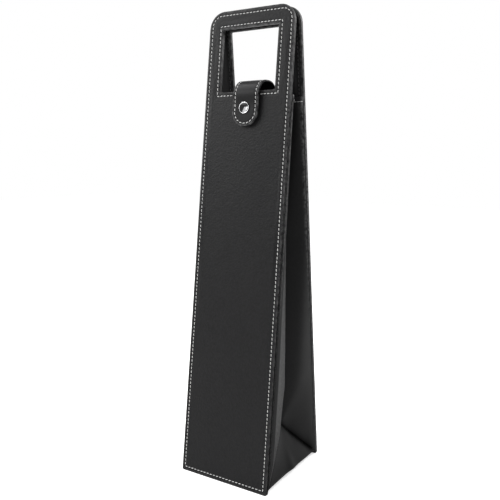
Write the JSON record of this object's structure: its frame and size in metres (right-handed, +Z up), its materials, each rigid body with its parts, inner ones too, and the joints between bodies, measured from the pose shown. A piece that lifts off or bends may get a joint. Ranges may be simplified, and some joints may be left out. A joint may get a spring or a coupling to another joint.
{
  "type": "bottle carrier",
  "caption": "Upright leather-covered carrier for one wine bottle: two stiff panels with cut-out handles lean together over a flat base, with folded side gussets and a press-stud strap.",
  "frame": {"origin": "centre of the footprint, on the floor under the panels' feet", "axes": "+Z up to the handles, -Y out of the front panel with the press stud, +X to the right seen from the front"},
  "size_m": [0.105, 0.115, 0.4799],
  "materials": {
    "leather": "fine grained charcoal black, satin",
    "strap_leather": "smooth charcoal black, satin",
    "board": "raw grey bookbinding board",
    "lining": "charcoal black, matte",
    "gusset_cloth": "soft charcoal black, matte",
    "chrome": "polished",
    "steel": "plain"
  },
  "bodies": {
    "base": {"base_cover": "leather", "base_board": "board", "base_lining": "lining", "right_gusset": "gusset_cloth", "left_gusset": "gusset_cloth"},
    "front_panel": {"front_cover": "leather", "front_board": "board", "front_lining": "lining", "front_right_seam": "gusset_cloth", "front_left_seam": "gusset_cloth", "snap_stud": "steel", "snap_post": "steel"},
    "back_panel": {"back_cover": "leather", "back_board": "board", "back_lining": "lining", "back_right_seam": "gusset_cloth", "back_left_seam": "gusset_cloth", "strap_bridge_leather": "strap_leather", "strap_bridge_lining": "strap_leather"},
    "strap": {"strap_tongue_leather": "strap_leather", "strap_tongue_lining": "strap_leather", "snap_cap": "chrome", "snap_socket": "steel"}
  },
  "joints": [
    {"name": "front_panel_tilt", "type": "hinge", "parent": "base", "child": "front_panel", "pos_m": [0, -0.05165, 0.004], "axis": [1, 0, 0], "range_deg": [0, 4], "deforming": ["right_gusset", "left_gusset"]},
    {"name": "back_panel_tilt", "type": "hinge", "parent": "base", "child": "back_panel", "pos_m": [0, 0.05165, 0.004], "axis": [-1, 0, 0], "range_deg": [0, 4], "deforming": ["right_gusset", "left_gusset"]},
    {"name": "strap_swing", "type": "hinge", "parent": "back_panel", "child": "strap", "pos_m": [0, 0, 0.41039], "axis": [-1, 0, 0], "range_deg": [0, 148]}
  ],
  "couplings": [
    {"joint": "front_panel_tilt", "follows": "strap_swing", "ratio": 0.027},
    {"joint": "back_panel_tilt", "follows": "strap_swing", "ratio": 0.027}
  ]
}
